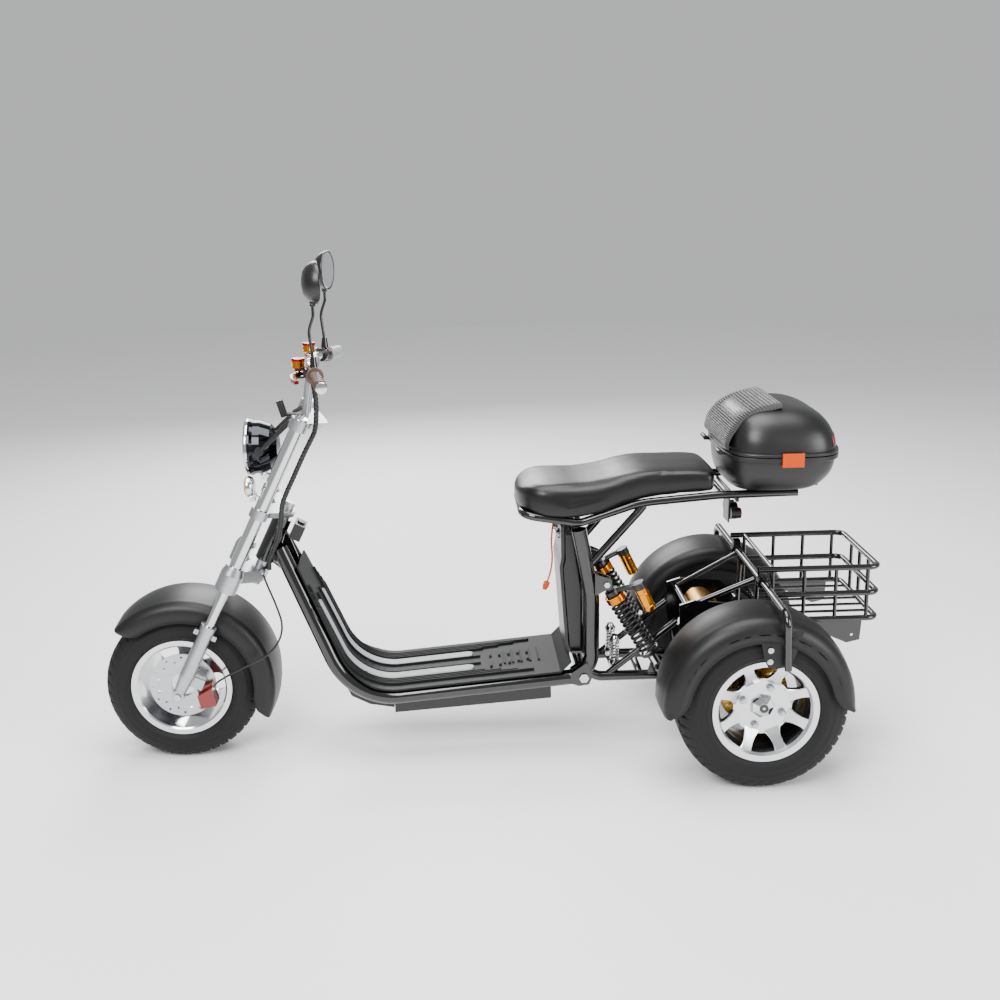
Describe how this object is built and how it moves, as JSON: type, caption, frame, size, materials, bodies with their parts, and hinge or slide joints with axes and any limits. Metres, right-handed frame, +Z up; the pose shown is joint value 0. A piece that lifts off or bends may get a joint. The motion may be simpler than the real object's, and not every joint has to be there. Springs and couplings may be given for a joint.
{
  "type": "adult tricycle",
  "caption": "Electric scooter tricycle for an adult: raked front fork, low step-through frame, long seat, luggage box, sprung rear carriage, mudguards and a rear basket.",
  "frame": {"origin": "on the ground under the middle of the whole vehicle's bounding box", "axes": "+X forwards, +Y to the rider's left, +Z up"},
  "size_m": [2.128, 0.825, 1.3871],
  "materials": {
    "gloss_black_steel": "gloss",
    "black_steel": "satin",
    "charcoal_plastic": "matte",
    "black_plastic": "matte",
    "satin_black_plastic": "satin",
    "battery_case": "satin",
    "zinc_fittings": "satin",
    "black_vinyl": "satin",
    "red_lens": "gloss",
    "orange_sheath": "satin",
    "orange_plastic": "satin",
    "bright_bolts": "satin",
    "grey_leather": "matte",
    "cast_alloy": "satin",
    "chrome": "polished",
    "brown_rubber": "satin",
    "grey_rubber": "satin",
    "gold_alloy": "polished",
    "black_chrome": "polished",
    "clear_lens": "polished",
    "amber_lens": "gloss",
    "black_sheath": "satin",
    "red_alloy": "gloss",
    "mirror_head": "polished",
    "tyre": "matte",
    "polished_alloy": "polished",
    "disc_steel": "brushed",
    "motor_alloy": "satin",
    "black_alloy": "satin",
    "spring_steel": "gloss"
  },
  "bodies": {
    "frame": {"main_frame": "gloss_black_steel", "deck_panel": "charcoal_plastic", "belly_pan": "black_plastic", "controller_box": "black_plastic", "battery_pack": "battery_case", "battery_cover": "black_plastic", "charge_port": "zinc_fittings", "seat_frame": "gloss_black_steel", "seat_cushion": "black_vinyl", "box_base": "black_plastic", "neck_box": "black_plastic", "tail_lights": "red_lens", "battery_lead": "orange_sheath", "battery_connector": "orange_plastic", "frame_bolts": "bright_bolts"},
    "box_lid_body": {"box_lid": "black_plastic", "backrest_pad": "grey_leather"},
    "left_latch": {"left_box_latch": "orange_plastic"},
    "right_latch": {"right_box_latch": "orange_plastic"},
    "steering": {"steering_stem": "cast_alloy", "fork_tubes": "chrome", "triple_clamps": "cast_alloy", "handlebar": "chrome", "left_grip": "brown_rubber", "bar_controls": "black_plastic", "brake_reservoirs": "gold_alloy", "headlight_shell": "black_chrome", "headlight_lens": "clear_lens", "headlight_bracket": "black_plastic", "turn_signals": "amber_lens", "mirror_stems": "black_steel", "wiring_loom": "black_sheath"},
    "throttle": {"throttle_grip": "grey_rubber"},
    "left_lever": {"left_brake_lever": "red_alloy"},
    "right_lever": {"right_brake_lever": "red_alloy"},
    "left_mirror_head": {"left_mirror": "mirror_head"},
    "right_mirror_head": {"right_mirror": "mirror_head"},
    "fork_lower": {"fork_lowers": "cast_alloy", "front_axle": "bright_bolts", "front_fender": "satin_black_plastic", "front_caliper": "red_alloy", "front_brake_hose": "black_sheath"},
    "front_wheel": {"front_tyre": "tyre", "front_rim": "polished_alloy", "front_disc": "disc_steel"},
    "swingarm_body": {"swingarm": "gloss_black_steel", "axle_carrier": "gloss_black_steel", "drive_motor": "motor_alloy", "fender_hoop": "gloss_black_steel", "rear_fenders": "satin_black_plastic", "basket": "gloss_black_steel", "rear_calipers": "red_alloy", "bump_springs": "chrome"},
    "left_rear_wheel": {"left_rear_tyre": "tyre", "left_rear_rim": "polished_alloy"},
    "right_rear_wheel": {"right_rear_tyre": "tyre", "right_rear_rim": "polished_alloy"},
    "shock_body": {"shock_bodies": "black_alloy", "shock_springs": "spring_steel"},
    "shock_rod": {"shock_rods": "polished_alloy"}
  },
  "joints": [
    {"name": "steering", "type": "hinge", "parent": "frame", "child": "steering", "pos_m": [0.58145, 0, 0.61833], "axis": [-0.4415, 0, 0.8973], "range_deg": [-35, 35], "deforming": ["wiring_loom"]},
    {"name": "throttle", "type": "hinge", "parent": "steering", "child": "throttle", "pos_m": [0.41527, -0.24, 1.09412], "axis": [-0.2161, -0.9725, -0.0865], "range_deg": [0, 70], "stiffness_Nm_per_rad": 0.3, "springref_deg": -11.46},
    {"name": "left_brake_lever", "type": "hinge", "parent": "steering", "child": "left_lever", "pos_m": [0.46993, 0.143, 1.10039], "axis": [0, 0, 1], "range_deg": [0, 10], "stiffness_Nm_per_rad": 1, "springref_deg": -5.73},
    {"name": "right_brake_lever", "type": "hinge", "parent": "steering", "child": "right_lever", "pos_m": [0.46993, -0.143, 1.10039], "axis": [0, 0, -1], "range_deg": [0, 10], "stiffness_Nm_per_rad": 1, "springref_deg": -5.73},
    {"name": "left_mirror", "type": "hinge", "parent": "steering", "child": "left_mirror_head", "pos_m": [0.4246, 0.177, 1.33323], "axis": [0, 0, 1], "range_deg": [-25, 25]},
    {"name": "right_mirror", "type": "hinge", "parent": "steering", "child": "right_mirror_head", "pos_m": [0.4246, -0.177, 1.33323], "axis": [0, 0, -1], "range_deg": [-25, 25]},
    {"name": "fork_travel", "type": "slide", "parent": "steering", "child": "fork_lower", "axis": [-0.4415, 0, 0.8973], "range_m": [-0.01, 0.045], "stiffness_N_per_m": 16000, "springref_m": -0.0175, "deforming": ["front_brake_hose"]},
    {"name": "front_wheel_spin", "type": "hinge", "parent": "fork_lower", "child": "front_wheel", "pos_m": [0.849, 0, 0.215], "axis": [0, 1, 0], "continuous": true},
    {"name": "swingarm_pivot", "type": "hinge", "parent": "frame", "child": "swingarm_body", "pos_m": [-0.263, 0, 0.236], "axis": [0, 1, 0], "range_deg": [-4, 5], "stiffness_Nm_per_rad": 2900, "springref_deg": -3.44},
    {"name": "left_rear_wheel_spin", "type": "hinge", "parent": "swingarm_body", "child": "left_rear_wheel", "pos_m": [-0.707, 0.287, 0.225], "axis": [0, 1, 0], "continuous": true},
    {"name": "right_rear_wheel_spin", "type": "hinge", "parent": "swingarm_body", "child": "right_rear_wheel", "pos_m": [-0.707, -0.287, 0.225], "axis": [0, 1, 0], "continuous": true},
    {"name": "shock_swing", "type": "hinge", "parent": "frame", "child": "shock_body", "pos_m": [-0.324, 0, 0.505], "axis": [0, 1, 0], "range_deg": [-1.3, 1.6]},
    {"name": "shock_stroke", "type": "slide", "parent": "shock_body", "child": "shock_rod", "axis": [0.5179, 0, 0.8555], "range_m": [-0.014, 0.017], "deforming": ["shock_springs"]},
    {"name": "box_lid", "type": "hinge", "parent": "frame", "child": "box_lid_body", "pos_m": [-0.626, 0, 0.856], "axis": [0, 1, 0], "range_deg": [0, 75]},
    {"name": "left_latch", "type": "hinge", "parent": "frame", "child": "left_latch", "pos_m": [-0.797, 0.203, 0.836], "axis": [-1, 0, 0], "range_deg": [0, 70]},
    {"name": "right_latch", "type": "hinge", "parent": "frame", "child": "right_latch", "pos_m": [-0.797, -0.203, 0.836], "axis": [1, 0, 0], "range_deg": [0, 70]}
  ],
  "couplings": [
    {"joint": "shock_swing", "follows": "swingarm_pivot", "ratio": 0.31},
    {"joint": "shock_stroke", "follows": "swingarm_pivot", "m_per_rad": 0.1915}
  ]
}
